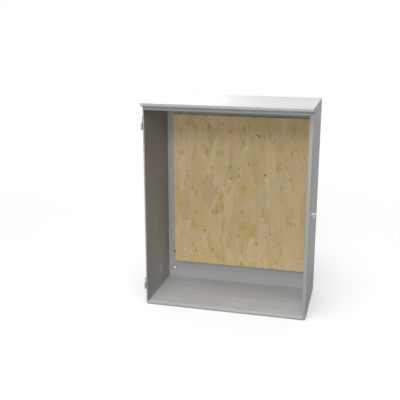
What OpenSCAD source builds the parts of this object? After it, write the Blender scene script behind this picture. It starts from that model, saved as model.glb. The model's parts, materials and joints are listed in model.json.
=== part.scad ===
// Steel wall enclosure with an open front: a welded sheet steel box with a drip-shield roof,
// a strand-board equipment backboard, two side hinges for a wrap-around door, a latch bracket
// and eccentric conduit knockouts. X is width, Y runs from front to back, Z is up.
// The origin is the centre of the base.

/* [Body] */
// Width over the side walls
body_w = 609.6; // [450:1:900]
// Depth from the front flanges to the back panel's outer face
body_d = 298; // [260:1:400]
// Height from the base to the top of the roof
body_h = 776; // [640:1:1000]
// Thickness of the body sheet
sheet_t = 1.9; // [1.2:0.1:2.4]
// Outer radius of the two bottom bends
bend_r = 19; // [12:0.5:24]

/* [Front flanges] */
// Width of the plain flange on the hinge side
hinge_flange_w = 5.8; // [5:0.1:9]
// Width of the flat strip of the folded flanges
flange_flat_w = 7.4; // [5:0.1:10]
// Width of the inner strip of the folded flanges, along the sheet
flange_fold_w = 8; // [5:0.1:12]
// Angle at which the inner strip is folded back
flange_fold_deg = 24; // [10:1:40]

/* [Roof and header] */
// How far the roof stands forward of the front flanges
roof_overhang = 20; // [10:0.5:30]
// Height of the roof's front drip lip
roof_lip_h = 12; // [8:0.5:18]
// Depth of the roof's inner weld flanges
roof_weld_h = 15; // [8:0.5:25]
// Width of the inward hem under the drip lip
roof_hem_w = 6; // [3:0.5:10]
// Height of the header strip over the opening
header_h = 26; // [20:0.5:40]
// Depth of the header's lower stiffening leg
header_leg = 14; // [8:0.5:22]

/* [Backboard] */
// Distance of the board's side edges in from the side walls' outer faces
board_side = 33.8; // [32:0.1:60]
// Height of the board's lower edge above the base
board_low = 81; // [70:1:100]
// Distance of the board's upper edge below the top of the roof
board_top = 78; // [60:1:100]
// Thickness of the board
board_t = 19; // [12:0.5:22]
// Height of the lower pair of board studs above the board's lower edge
stud_up = 44; // [20:1:80]
// Distance of the upper pair of board studs below the board's upper edge
stud_down = 82; // [40:1:120]
// Diameter of the board studs
stud_d = 6; // [5:0.5:8]
// Clearance round a stud in the board's edge notch
stud_gap = 1; // [0.5:0.1:2]
// Thickness of the spacer washers behind the board
spacer_t = 1; // [0.8:0.1:3]
// Outside diameter of the washers
washer_d = 12; // [11.5:0.5:16]
// Thickness of the clamp washers
washer_t = 1.2; // [0.8:0.1:2]
// Width across flats of the nuts
nut_af = 10; // [9.5:0.5:11]
// Height of the nuts
nut_h = 5; // [4:0.5:7]
// Length of stud left in front of a nut
stud_tail = 2.5; // [1:0.5:5]

/* [Wall mounting] */
// Distance of the mounting holes in from the side walls' outer faces
mount_in = 24; // [22:0.5:30]
// Distance of the mounting holes from the base and from the roof
mount_up = 40; // [36:0.5:50]
// Diameter of the mounting holes
mount_hole_d = 8.5; // [6:0.5:10]
// Width of a mounting dimple at the panel
dimple_w = 20; // [16:0.5:22]
// Length of a mounting dimple at the panel
dimple_l = 31; // [26:0.5:34]
// Depth of a mounting dimple
dimple_depth = 5; // [3:0.5:7]
// How much narrower each side of the dimple is at its floor
dimple_draft = 2.5; // [1:0.5:3]
// How far a dimple's centre lies from its hole, away from the middle of the box
dimple_shift = 3; // [0:0.5:5]

/* [Hinges] */
// Height of one whole hinge
hinge_h = 50; // [40:1:60]
// Height of the lower hinge's lower end above the base
hinge_low_z = 65; // [50:1:110]
// Distance of the upper hinge's upper end below the top of the roof
hinge_top = 49; // [30:1:90]
// Radius of the hinge knuckles
knuckle_r = 3.5; // [3.2:0.1:4.5]
// Radius of the hinge pins
pin_r = 1.9; // [1.5:0.1:2.2]
// Radial running clearance between pin and door knuckle
pin_gap = 0.05; // [0.02:0.01:0.1]
// Radial clearance of the pin where it is fixed in the body knuckle
pin_seat_gap = 0.02; // [0.01:0.01:0.05]
// Distance of the hinge axis outside the side wall
hinge_out = 1.6; // [1.4:0.1:1.8]
// Distance of the hinge axis in front of the front flanges
hinge_front = 3.9; // [3.8:0.1:5]
// Length of a hinge leaf behind the hinge axis
leaf_l = 32; // [28:0.5:45]
// Thickness of a hinge leaf
leaf_t = 1.9; // [1.5:0.1:2.2]
// Gap between the door leaf and the side wall when it lies closed
leaf_gap = 0.5; // [0.4:0.1:0.6]
// Gap between the two knuckles of a hinge
knuckle_gap = 0.3; // [0.2:0.1:0.6]
// Diameter of the door screw holes in a door leaf
leaf_hole_d = 4.5; // [3:0.1:5]
// Distance between the two screw holes of a door leaf
leaf_hole_pitch = 14; // [10:0.5:16]

/* [Latch bracket] */
// Height of the bracket's top face above the middle of the body
latch_up = 15; // [-40:1:60]
// How far the bracket stands out from the side wall
latch_out = 19; // [16:0.5:24]
// Length of the bracket along the side wall
latch_l = 24; // [18:0.5:30]
// Height of the bracket's welded leg
latch_leg_h = 27; // [20:0.5:35]
// Thickness of the bracket
latch_t = 2.5; // [2:0.1:3]
// Distance of the bracket behind the front flanges
latch_back = 1; // [0.5:0.5:10]
// Distance of the rivet nut from the side wall
rivnut_out = 12; // [11:0.5:13]
// Outside diameter of the rivet nut's barrel
rivnut_d = 6.5; // [6:0.1:7]
// Diameter of the rivet nut's tapping bore
rivnut_bore_d = 4.2; // [3.3:0.1:4.4]
// Diameter of the rivet nut's flange
rivnut_flange_d = 9.5; // [9:0.5:11]
// Length of the rivet nut's barrel below its flange
rivnut_l = 12; // [9:0.5:14]
// Clearance of the rivet nut in the bracket's hole
rivnut_gap = 0.1; // [0.05:0.05:0.2]

/* [Knockouts] */
// Distance of the outer knockout's centre behind the front flanges
knockout_back = 174.5; // [140:0.5:180]
// Height of the knockouts' centre
knockout_z = 76; // [66:0.5:100]
// Diameter of the outer knockout
knockout_outer_d = 78; // [60:1:80]
// Diameter of the inner knockout
knockout_inner_d = 36; // [22:1:44]
// Web left between the two knockouts at their nearest point
knockout_web = 3; // [2:0.5:6]
// Sheared gap round each knockout
knockout_gap = 0.2; // [0.1:0.05:0.3]
// How far the ring is pushed into the box
ring_push = 0.5; // [0:0.1:0.8]
// How far the slug is pushed into the box
slug_push = 1.4; // [0.9:0.1:1.6]

/* [Hidden] */

$fn = 64;
// Overcut that keeps cutting faces off the faces they cut
cut = 1;

paint = [0.62, 0.63, 0.63];
zinc = [0.72, 0.73, 0.74];
strand_board = [0.76, 0.65, 0.45];

half_w = body_w / 2;
front_y = -body_d / 2;
back_y = body_d / 2;
// Underside of the roof sheet, which is also the top edge of the side walls
wall_top_z = body_h - sheet_t;
panel_face_y = back_y - sheet_t;
board_back_y = panel_face_y - spacer_t;
board_face_y = board_back_y - board_t;
board_half_w = half_w - board_side;
board_h = body_h - board_low - board_top;
header_z = wall_top_z - header_h;
stud_end_y = board_face_y - washer_t - nut_h - stud_tail;
mount_x = half_w - mount_in;
hinge_axis_x = -half_w - hinge_out;
hinge_axis_y = front_y - hinge_front;
knuckle_h = (hinge_h - knuckle_gap) / 2;
// Height of the upper hinge's lower end
hinge_high_z = body_h - hinge_top - hinge_h;
latch_z = body_h / 2 + latch_up;
knockout_y = front_y + knockout_back;
knockout_offset = (knockout_outer_d - knockout_inner_d) / 2 - knockout_web;

// Raises a flat outline, drawn in X and Z, into a solid between two depths
module between(y0, y1) {
    translate([0, y1, 0])
        rotate([90, 0, 0])
            linear_extrude(height = y1 - y0)
                children();
}

// Front outline of the body, set in by a distance: rounded below, open-ended above
module body_outline(inset, top_z) {
    r = bend_r - inset;
    w = body_w - 2 * inset;
    translate([-w / 2, bend_r])
        square([w, top_z - bend_r]);
    translate([-w / 2 + r, inset])
        square([w - 2 * r, bend_r]);
    for (side = [-1, 1])
        translate([side * (half_w - bend_r), bend_r])
            circle(r = r, $fn = 96);
}

// Cross-section of a folded-back flange strip: it starts at the origin and goes along +X and +Y
module fold_section() {
    along = [cos(flange_fold_deg), sin(flange_fold_deg)];
    across = [-along[1], along[0]];
    polygon([
        [0, 0],
        flange_fold_w * along,
        flange_fold_w * along + sheet_t * across,
        [0, sheet_t / cos(flange_fold_deg)]
    ]);
}

// Folded strip of the bottom flange, mitred where it meets the side's strip
module bottom_fold() {
    mitre_x = half_w - flange_flat_w;
    intersection() {
        translate([-half_w + sheet_t + cut / 2, front_y, flange_flat_w])
            multmatrix([[0, 0, 1, 0], [0, 1, 0, 0], [1, 0, 0, 0], [0, 0, 0, 1]])
                linear_extrude(height = body_w)
                    fold_section();
        between(front_y - cut, front_y + body_d)
            polygon([
                [-half_w, flange_flat_w],
                [mitre_x, flange_flat_w],
                [mitre_x - flange_fold_w, flange_flat_w + flange_fold_w],
                [-half_w, flange_flat_w + flange_fold_w]
            ]);
    }
}

// Folded strip of the latch-side flange, mitred below and square under the header
module side_fold() {
    fold_x = half_w - flange_flat_w;
    intersection() {
        translate([fold_x, front_y, 0])
            mirror([1, 0, 0])
                linear_extrude(height = header_z)
                    fold_section();
        between(front_y - cut, front_y + body_d)
            polygon([
                [fold_x, flange_flat_w],
                [fold_x, header_z],
                [fold_x - flange_fold_w, header_z],
                [fold_x - flange_fold_w, flange_flat_w + flange_fold_w]
            ]);
    }
}

// Round hole or disc across a side wall, centred on the outer or the inner knockout
module knockout_disc(side, d, inner, x0, x1) {
    y = knockout_y + (inner ? knockout_offset : 0);
    translate([side * x0, y, knockout_z])
        rotate([0, side * 90, 0])
            cylinder(h = x1 - x0, d = d, $fn = 96);
}

// Both side walls and the bottom in one bent sheet, with the front flanges turned in
module wrapper() {
    color(paint) {
        difference() {
            between(front_y, back_y)
                body_outline(0, wall_top_z);
            between(front_y + sheet_t, back_y + cut)
                body_outline(sheet_t, wall_top_z + cut);
            between(front_y - cut, front_y + sheet_t + cut)
                intersection() {
                    body_outline(sheet_t + 1, wall_top_z + cut);
                    translate([-half_w + hinge_flange_w, flange_flat_w])
                        square([body_w - hinge_flange_w - flange_flat_w, body_h]);
                }
            for (side = [-1, 1])
                knockout_disc(side, knockout_outer_d, false, half_w - sheet_t - cut, half_w + cut);
        }
        bottom_fold();
        side_fold();
    }
}

// Oblong tapered form of a mounting dimple: it starts at the origin's plane and goes along +Y
module dimple_form(w0, w1, depth) {
    straight = dimple_l - dimple_w;
    for (end = [-1, 1])
        translate([0, 0, end * straight / 2])
            rotate([-90, 0, 0])
                cylinder(h = depth, d1 = w0, d2 = w1);
    translate([0, 0, -straight / 2])
        linear_extrude(height = straight)
            polygon([[-w0 / 2, 0], [w0 / 2, 0], [w1 / 2, depth], [-w1 / 2, depth]]);
}

// Puts its child at each of the four wall mounting holes, with its lower end away from mid-height
module at_mount_holes() {
    for (x = [-mount_x, mount_x]) {
        translate([x, 0, mount_up])
            children();
        translate([x, 0, body_h - mount_up])
            mirror([0, 0, 1])
                children();
    }
}

// Back sheet, welded into the wrapper, with four dimples pressed back towards the wall
module back_panel() {
    floor_w = dimple_w - 2 * dimple_draft;
    color(paint)
        difference() {
            union() {
                between(panel_face_y, back_y)
                    body_outline(sheet_t, wall_top_z);
                at_mount_holes()
                    translate([0, back_y - sheet_t / 2, -dimple_shift])
                        dimple_form(dimple_w + sheet_t, floor_w + sheet_t, dimple_depth + sheet_t / 2);
            }
            at_mount_holes() {
                translate([0, panel_face_y, -dimple_shift])
                    dimple_form(dimple_w, floor_w, dimple_depth);
                translate([0, panel_face_y, 0])
                    rotate([-90, 0, 0])
                        cylinder(h = dimple_depth + sheet_t + cut, d = mount_hole_d);
            }
        }
}

// Roof sheet with a front drip lip, a hem under the lip and weld flanges inside the side walls
module roof() {
    lip_y = front_y - roof_overhang;
    color(paint) {
        translate([-half_w, lip_y, wall_top_z])
            cube([body_w, body_d + roof_overhang, sheet_t]);
        translate([-half_w, lip_y, body_h - roof_lip_h])
            cube([body_w, sheet_t, roof_lip_h]);
        translate([-half_w, lip_y, body_h - roof_lip_h])
            cube([body_w, roof_hem_w, sheet_t]);
        for (side = [0, 1])
            mirror([side, 0, 0])
                translate([half_w - 2 * sheet_t, front_y + header_leg + sheet_t, wall_top_z - roof_weld_h])
                    cube([sheet_t, body_d - header_leg - 2 * sheet_t, roof_weld_h]);
    }
}

// Strip over the opening, between the side flanges, with a stiffening leg turned back at its foot
module header() {
    left_x = -half_w + hinge_flange_w;
    right_x = half_w - flange_flat_w;
    inner_x = half_w - sheet_t;
    color(paint) {
        translate([left_x, front_y, header_z])
            cube([right_x - left_x, sheet_t, header_h]);
        translate([-inner_x, front_y + sheet_t, header_z])
            cube([2 * inner_x, header_leg - sheet_t, sheet_t]);
    }
}

// Puts its child at each of the four board studs
module at_studs() {
    for (x = [-board_half_w, board_half_w])
        for (z = [board_low + stud_up, board_low + board_h - stud_down])
            translate([x, 0, z])
                children();
}

// Round disc or shank that lies along Y between two depths
module round_y(y0, y1, d) {
    translate([0, y0, 0])
        rotate([-90, 0, 0])
            cylinder(h = y1 - y0, d = d, $fn = 48);
}

// Strand board for the equipment, with a half-round notch in its edge at each stud
module backboard() {
    color(strand_board)
        difference() {
            translate([-board_half_w, board_face_y, board_low])
                cube([2 * board_half_w, board_t, board_h]);
            at_studs()
                round_y(board_face_y - cut, board_back_y + cut, stud_d + 2 * stud_gap);
        }
}

// Four studs welded to the back panel
module board_studs() {
    color(zinc)
        at_studs()
            round_y(stud_end_y, panel_face_y, stud_d);
}

// Washer round a stud between two depths
module washer(y0, y1) {
    difference() {
        round_y(y0, y1, washer_d);
        round_y(y0 - cut, y1 + cut, stud_d + 0.4);
    }
}

// Four washers that hold the board off the back panel
module board_spacers() {
    color(zinc)
        at_studs()
            washer(board_back_y, panel_face_y);
}

// Four washers that clamp the board's edges
module board_washers() {
    color(zinc)
        at_studs()
            washer(board_face_y - washer_t, board_face_y);
}

// Four hexagon nuts on the studs
module board_nuts() {
    nut_y = board_face_y - washer_t - nut_h;
    color(zinc)
        at_studs()
            difference() {
                translate([0, nut_y, 0])
                    rotate([-90, 0, 0])
                        cylinder(h = nut_h, d = nut_af / cos(30), $fn = 6);
                round_y(nut_y - cut, nut_y + nut_h + cut, stud_d + 0.1);
            }
}

// Puts its child on a hinge's axis, at the height given
module at_hinge(z) {
    translate([hinge_axis_x, hinge_axis_y, z])
        children();
}

// Knuckle with one leaf behind it; the leaf's near face lies wall_gap away from the side wall
module leaf_form(bore_r, wall_gap) {
    near_x = hinge_out - wall_gap;
    difference() {
        union() {
            cylinder(h = knuckle_h, r = knuckle_r);
            translate([near_x - leaf_t, 0, 0])
                cube([leaf_t, leaf_l, knuckle_h]);
        }
        translate([0, 0, -cut])
            cylinder(h = knuckle_h + 2 * cut, r = bore_r);
    }
}

// Leaf welded to the side wall, with the lower knuckle
module hinge_body_leaf(z) {
    color(paint)
        at_hinge(z)
            leaf_form(pin_r + pin_seat_gap, 0);
}

// Pin fixed in the lower knuckle, with bevelled ends
module hinge_pin(z) {
    bevel = pin_r / 3;
    color(zinc)
        at_hinge(z)
            rotate_extrude($fn = 48)
                polygon([
                    [0, 0],
                    [pin_r - bevel, 0],
                    [pin_r, bevel],
                    [pin_r, hinge_h - bevel],
                    [pin_r - bevel, hinge_h],
                    [0, hinge_h]
                ]);
}

// Free leaf with the upper knuckle and two screw holes for the door
module hinge_door_leaf(z) {
    hole_y = (leaf_l + knuckle_r) / 2;
    color(zinc)
        at_hinge(z + knuckle_h + knuckle_gap)
            difference() {
                leaf_form(pin_r + pin_gap, leaf_gap);
                for (side = [-1, 1])
                    translate([-knuckle_r, hole_y + side * leaf_hole_pitch / 2, knuckle_h / 2])
                        rotate([0, 90, 0])
                            cylinder(h = 2 * knuckle_r, d = leaf_hole_d, $fn = 32);
            }
}

module upper_hinge_body_leaf() {
    hinge_body_leaf(hinge_high_z);
}

module upper_hinge_pin() {
    hinge_pin(hinge_high_z);
}

module upper_hinge_door_leaf() {
    hinge_door_leaf(hinge_high_z);
}

module lower_hinge_body_leaf() {
    hinge_body_leaf(hinge_low_z);
}

module lower_hinge_pin() {
    hinge_pin(hinge_low_z);
}

module lower_hinge_door_leaf() {
    hinge_door_leaf(hinge_low_z);
}

// Angle bracket welded to the side wall, with a shelf that holds the rivet nut
module latch_bracket() {
    color(paint)
        translate([half_w, front_y + latch_back, latch_z])
            difference() {
                union() {
                    translate([0, 0, -latch_t])
                        cube([latch_out, latch_l, latch_t]);
                    translate([0, 0, -latch_leg_h])
                        cube([latch_t, latch_l, latch_leg_h]);
                }
                translate([rivnut_out, latch_l / 2, -latch_t - cut])
                    cylinder(h = latch_t + 2 * cut, d = rivnut_d + 2 * rivnut_gap, $fn = 48);
            }
}

// Rivet nut for the door's captive screw, through the bracket's shelf
module latch_rivet_nut() {
    flange_t = 0.8;
    color(zinc)
        translate([half_w + rivnut_out, front_y + latch_back + latch_l / 2, latch_z])
            difference() {
                union() {
                    translate([0, 0, -rivnut_l])
                        cylinder(h = rivnut_l + flange_t, d = rivnut_d, $fn = 48);
                    cylinder(h = flange_t, d = rivnut_flange_d, $fn = 48);
                }
                translate([0, 0, -rivnut_l - cut])
                    cylinder(h = rivnut_l + flange_t + 2 * cut, d = rivnut_bore_d, $fn = 48);
            }
}

// Outer knockout: a ring sheared from the side wall and pushed in a little
module knockout_ring(side) {
    x0 = half_w - sheet_t - ring_push;
    color(paint)
        difference() {
            knockout_disc(side, knockout_outer_d - 2 * knockout_gap, false, x0, x0 + sheet_t);
            knockout_disc(side, knockout_inner_d, true, x0 - cut, x0 + sheet_t + cut);
        }
}

// Inner knockout: a disc sheared from the ring and pushed in further
module knockout_slug(side) {
    x0 = half_w - sheet_t - slug_push;
    color(paint)
        knockout_disc(side, knockout_inner_d - 2 * knockout_gap, true, x0, x0 + sheet_t);
}

module left_knockout_ring() {
    knockout_ring(-1);
}

module left_knockout_slug() {
    knockout_slug(-1);
}

module right_knockout_ring() {
    knockout_ring(1);
}

module right_knockout_slug() {
    knockout_slug(1);
}

wrapper();
back_panel();
roof();
header();
backboard();
board_studs();
board_spacers();
board_washers();
board_nuts();
upper_hinge_body_leaf();
upper_hinge_pin();
upper_hinge_door_leaf();
lower_hinge_body_leaf();
lower_hinge_pin();
lower_hinge_door_leaf();
latch_bracket();
latch_rivet_nut();
left_knockout_ring();
left_knockout_slug();
right_knockout_ring();
right_knockout_slug();
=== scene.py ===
import json
import math
import bmesh
import bpy
import numpy as np
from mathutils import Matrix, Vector


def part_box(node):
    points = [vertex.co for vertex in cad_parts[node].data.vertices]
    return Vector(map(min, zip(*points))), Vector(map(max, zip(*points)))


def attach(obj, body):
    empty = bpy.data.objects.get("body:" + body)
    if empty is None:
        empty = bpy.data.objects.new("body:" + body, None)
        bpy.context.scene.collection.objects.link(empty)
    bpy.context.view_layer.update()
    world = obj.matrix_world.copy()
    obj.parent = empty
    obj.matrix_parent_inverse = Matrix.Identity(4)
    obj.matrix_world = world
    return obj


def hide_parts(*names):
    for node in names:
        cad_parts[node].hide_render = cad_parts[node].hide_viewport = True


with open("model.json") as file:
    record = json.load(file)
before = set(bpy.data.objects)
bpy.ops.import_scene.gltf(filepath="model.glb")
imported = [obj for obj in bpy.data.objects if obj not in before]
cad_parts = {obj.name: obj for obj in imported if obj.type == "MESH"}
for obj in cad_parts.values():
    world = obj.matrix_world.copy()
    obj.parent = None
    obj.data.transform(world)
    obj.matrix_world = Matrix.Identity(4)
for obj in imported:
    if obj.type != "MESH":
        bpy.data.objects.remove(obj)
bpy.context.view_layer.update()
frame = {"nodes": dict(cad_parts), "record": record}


# Camera: it stands in front of the box, to its right and a little above its roof, and looks
# slightly down, as someone does who walks up to a box that stands on the floor.
camera_distance = 2.282
camera_right = 0.499
camera_height = 1.076
look_down = 15.33
look_left = 14.51
camera_data = bpy.data.cameras.new("camera")
camera_data.lens = 60.75
camera_data.sensor_width = 36.0
camera = bpy.data.objects.new("camera", camera_data)
bpy.context.scene.collection.objects.link(camera)
camera.location = (camera_right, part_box("wrapper")[0][1] - camera_distance, camera_height)
camera.rotation_euler = (math.radians(90 - look_down), 0.0, math.radians(look_left))
bpy.context.scene.camera = camera


# Wrapper: both side walls and the bottom, bent in one sheet of 1.9 mm steel. Its front edge is turned
# in to narrow flanges, and those of the bottom and of the latch side are folded back once more. A
# round hole low in each wall holds the knockouts. Powder-coated grey.
mm = 0.001


def corners_of(node):
    """The lowest and the highest corner of a CAD node at rest, in millimetres."""
    return [np.array(corner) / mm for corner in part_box(node)]


def new_node(tree, kind, inlets=(), outlet=0, **settings):
    """Adds one shader node, sets it up, feeds its inlets with sockets or values, and returns an outlet."""
    made = tree.nodes.new("ShaderNode" + kind)
    for name, value in settings.items():
        setattr(made, name, value)
    for inlet, value in dict(inlets).items():
        if isinstance(value, bpy.types.NodeSocket):
            tree.links.new(value, made.inputs[inlet])
        else:
            made.inputs[inlet].default_value = value
    return made.outputs[outlet]


def calculate(tree, operation, *values):
    """One Math node on sockets or numbers."""
    return new_node(tree, "Math", enumerate(values), operation=operation)


def calculate_places(tree, operation, first, second):
    """One VectorMath node on two places or plain vectors."""
    return new_node(tree, "VectorMath", {0: first, 1: second}, operation=operation)


def noise_of(tree, place, scale, detail=2.0, stretch=(1, 1, 1)):
    """Smooth noise from 0 to 1 over a place, with so many waves a metre, stretched along its axes."""
    stretched = calculate_places(tree, "MULTIPLY", place, stretch)
    return new_node(tree, "TexNoise", {"Vector": stretched, "Scale": scale, "Detail": detail}, "Fac")


def between(tree, value, low, high, to_low, to_high, smooth=False):
    """Carries a range of values over to another range, and stays inside it."""
    ranges = {0: value, 1: low, 2: high, 3: to_low, 4: to_high}
    return new_node(tree, "MapRange", ranges, interpolation_type="SMOOTHSTEP" if smooth else "LINEAR")


def mixed(tree, factor, first, second):
    """Colour mixed from the first to the second by a factor."""
    return new_node(tree, "Mix", {0: factor, 6: first, 7: second}, 2, data_type="RGBA")


def shaded(tree, colour, brightness):
    """A colour made lighter or darker by a factor."""
    return new_node(tree, "VectorMath", {0: colour, 3: brightness}, operation="SCALE")


def bumped(tree, height, distance, strength=1.0):
    """Surface normal after a relief of the given depth in metres."""
    return new_node(tree, "Bump", {"Height": height, "Distance": distance, "Strength": strength})


def facing_along(tree, axis, outlet="Normal"):
    """How far the surface faces along an axis, from -1 to 1."""
    return new_node(tree, "SeparateXYZ", {0: new_node(tree, "NewGeometry", outlet=outlet)}, axis)


def new_material(name):
    """An empty material, its node tree, its surface shader and the place on the piece."""
    material = bpy.data.materials.new(name)
    material.use_nodes = True
    tree = material.node_tree
    place = new_node(tree, "TexCoord", outlet="Object")
    return material, tree, tree.nodes["Principled BSDF"], place


rubbed_grey = (0.70, 0.70, 0.69, 1.0)
dust_and_top_light_grey = (0.60, 0.585, 0.56, 1.0)


def powder_coat(name, colour):
    """Baked powder paint: satin grey with a fine orange-peel skin, faint clouds from the spray gun,
    a lighter grey where it lies level, partly dust and partly painted light on faces that look up,
    and rare rubbed streaks from handling."""
    material, tree, shader, place = new_material(name)
    clouds = noise_of(tree, place, 4.0, 3.0)
    speckle = noise_of(tree, place, 420.0, 1.0)
    peel = noise_of(tree, place, 700.0, 2.0)
    rubs = between(tree, noise_of(tree, place, 9.0, 4.0, (1.0, 1.0, 6.0)), 0.62, 0.74, 0.0, 1.0)
    rubbed = calculate(tree, "MULTIPLY", rubs, 0.06)
    # Faces that look up turn a lighter grey: partly dust, partly painted light from above.
    level = between(tree, facing_along(tree, "Z"), 0.8, 1.0, 0.0, 1.0)
    streaks = noise_of(tree, place, 16.0, 6.0, (0.35, 1.6, 1.0))
    dust_and_top_light = calculate(tree, "MULTIPLY", level, between(tree, streaks, 0.38, 0.68, 0.0, 1.0))
    tone = between(tree, clouds, 0.3, 0.7, 0.965, 1.03)
    tone = calculate(tree, "MULTIPLY", tone, between(tree, speckle, 0.3, 0.7, 0.985, 1.015))
    streaky = mixed(tree, rubbed, shaded(tree, colour, tone), rubbed_grey)
    dusty_and_top_lit = mixed(tree, calculate(tree, "MULTIPLY", dust_and_top_light, 0.22), streaky, dust_and_top_light_grey)
    rough = between(tree, clouds, 0.3, 0.7, 0.40, 0.48)
    rough = calculate(tree, "ADD", rough, calculate(tree, "MULTIPLY", dust_and_top_light, 0.15))
    rough = calculate(tree, "SUBTRACT", rough, rubbed)
    tree.links.new(dusty_and_top_lit, shader.inputs["Base Color"])
    tree.links.new(rough, shader.inputs["Roughness"])
    tree.links.new(bumped(tree, peel, 0.00006), shader.inputs["Normal"])
    shader.inputs["Specular IOR Level"].default_value = 0.22
    return material


grey_paint = powder_coat("grey_powder_coat", (0.369, 0.372, 0.374))
painted = (grey_paint, "painted_steel")


def grid_faces(rows, columns, keep=None):
    """Quads of a grid of points that are counted row by row; keep marks the cells that stay."""
    corner = np.arange(rows * columns).reshape(rows, columns)
    quads = np.stack([corner[:-1, :-1], corner[:-1, 1:], corner[1:, 1:], corner[1:, :-1]], axis=-1)
    return quads.reshape(-1, 4) if keep is None else quads[keep]


def ring_faces(loops):
    """Quads between closed loops of points, each with as many points as the next."""
    loops = np.asarray(loops)
    ahead = np.roll(loops, -1, axis=1)
    return np.stack([loops[:-1], ahead[:-1], ahead[1:], loops[1:]], axis=-1).reshape(-1, 4)


def window_rim(row_range, column_range, columns):
    """Numbers of the grid points round a rectangular window, in order round it."""
    r0, r1 = row_range
    c0, c1 = column_range
    walk = [(r0, c) for c in range(c0, c1)] + [(r, c1) for r in range(r0, r1)]
    walk += [(r1, c) for c in range(c1, c0, -1)] + [(r, c0) for r in range(r1, r0, -1)]
    return np.array([r * columns + c for r, c in walk])


def on_circle(points, centre, radius):
    """The points moved along their rays from the centre until they lie on its circle."""
    rays = points - centre
    return centre + radius * rays / np.linalg.norm(rays, axis=1, keepdims=True)


def round_hole(points, rim, centre, radius):
    """Fills the strip between a window's rim and a round hole in it: returns all the points, with
    those of the hole added, and the quads of the strip."""
    hole = on_circle(points[rim], np.array(centre), radius)
    strip = ring_faces([rim, len(points) + np.arange(len(rim))])
    return np.concatenate([points, hole]), strip


def add_piece(name, points, faces, finish, nodes, body="box", outward=None):
    """A mesh object from points in millimetres and a finish, which is a material and its slot. It
    rides on a body and stands for CAD nodes.

    Points that fall together are merged. A closed surface is turned outwards. An open sheet is
    turned so that its face that lies furthest in the outward direction looks that way.
    """
    material, slot = finish
    mesh = bpy.data.meshes.new(name)
    places = (np.asarray(points).reshape(-1, 3) * mm).tolist()
    mesh.from_pydata(places, [], [np.asarray(face).tolist() for face in faces])
    work = bmesh.new()
    work.from_mesh(mesh)
    bmesh.ops.remove_doubles(work, verts=work.verts, dist=2e-6)
    bmesh.ops.dissolve_degenerate(work, dist=1e-7, edges=work.edges)
    bmesh.ops.recalc_face_normals(work, faces=work.faces)
    if outward is not None:
        direction = Vector(outward)
        furthest = max(work.faces, key=lambda face: face.calc_center_median().dot(direction))
        if furthest.normal.dot(direction) < 0:
            bmesh.ops.reverse_faces(work, faces=work.faces)
    work.to_mesh(mesh)
    work.free()
    mesh.shade_smooth()
    mesh.materials.append(material)
    piece = bpy.data.objects.new(name, mesh)
    bpy.context.scene.collection.objects.link(piece)
    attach(piece, body)
    if nodes:
        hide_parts(*nodes)
    return piece


def ease_edges(piece, width, segments=2):
    """Rounds every edge sharper than 35 degrees, and keeps the flat faces flat in their shading."""
    bevel = piece.modifiers.new("eased_edges", "BEVEL")
    bevel.width = width * mm
    bevel.segments = segments
    bevel.limit_method = "ANGLE"
    bevel.angle_limit = math.radians(35)
    piece.modifiers.new("flat_faces", "WEIGHTED_NORMAL").keep_sharp = True


def thicken(piece, thickness, edge=0.3):
    """Gives an open surface the thickness of its sheet, behind it, and eases the cut edges."""
    solid = piece.modifiers.new("sheet", "SOLIDIFY")
    solid.thickness = thickness * mm
    solid.offset = -1.0
    solid.use_even_offset = True
    ease_edges(piece, edge)


sheet = 1.9
bend = 3.4
corner_bend = 8.0
plain_flange = 5.8
flat_flange = 7.4
fold_angle = math.radians(24)
fold_strip = 8.0
fold_width = fold_strip * math.cos(fold_angle)
mitre_reach = 1.0
knockout_gap = 0.2
quarter = np.linspace(0.0, math.pi / 2, 7)
near = 0.01

low, high = corners_of("wrapper")
half_w, wall_top, front_y, back_y = high[0], high[2], low[1], high[1]
header_z = corners_of("header")[0][2]
ring_low, ring_high = corners_of("right_knockout_ring")
hole_y, hole_z = (ring_low[1:] + ring_high[1:]) / 2
hole_r = (ring_high[2] - ring_low[2]) / 2 + knockout_gap

# Each wall's grid has a square window of cells left out round the knockouts' hole.
window_half = 45.0
window_cells = 16
window_lines = np.linspace(window_half, -window_half, window_cells + 1)

# Across the sheet: its depth and how far it lies inside the outline, from the back to the flange.
wall_depth = np.concatenate([[back_y], hole_y + window_lines, [front_y + bend]])
depth = np.concatenate([wall_depth, front_y + bend - bend * np.sin(quarter[1:])])
inset = np.concatenate([np.zeros(len(wall_depth)), bend - bend * np.cos(quarter[1:])])

# Along the sheet: down the left wall, round the bottom, up the right wall.
upper_lines = [wall_top, header_z, 500.0, 300.0]
bottom_line = 120.0
wall_z = np.concatenate([upper_lines, hole_z + window_lines, [corner_bend]])
turn = np.linspace(math.pi, 1.5 * math.pi, 13)[1:]
rays = np.stack([np.cos(turn), np.sin(turn)], axis=1)
left = np.stack([np.full(len(wall_z), -half_w), wall_z], axis=1)
left_bend = np.array([corner_bend - half_w, corner_bend]) + corner_bend * rays
half_path = np.concatenate([left, left_bend, [[-bottom_line, 0.0]]])
half_inward = np.concatenate([np.tile([1.0, 0.0], (len(left), 1)), -rays, [[0.0, 1.0]]])
path = np.concatenate([half_path, half_path[::-1] * [-1, 1]])
inward = np.concatenate([half_inward, half_inward[::-1] * [-1, 1]])

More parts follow.
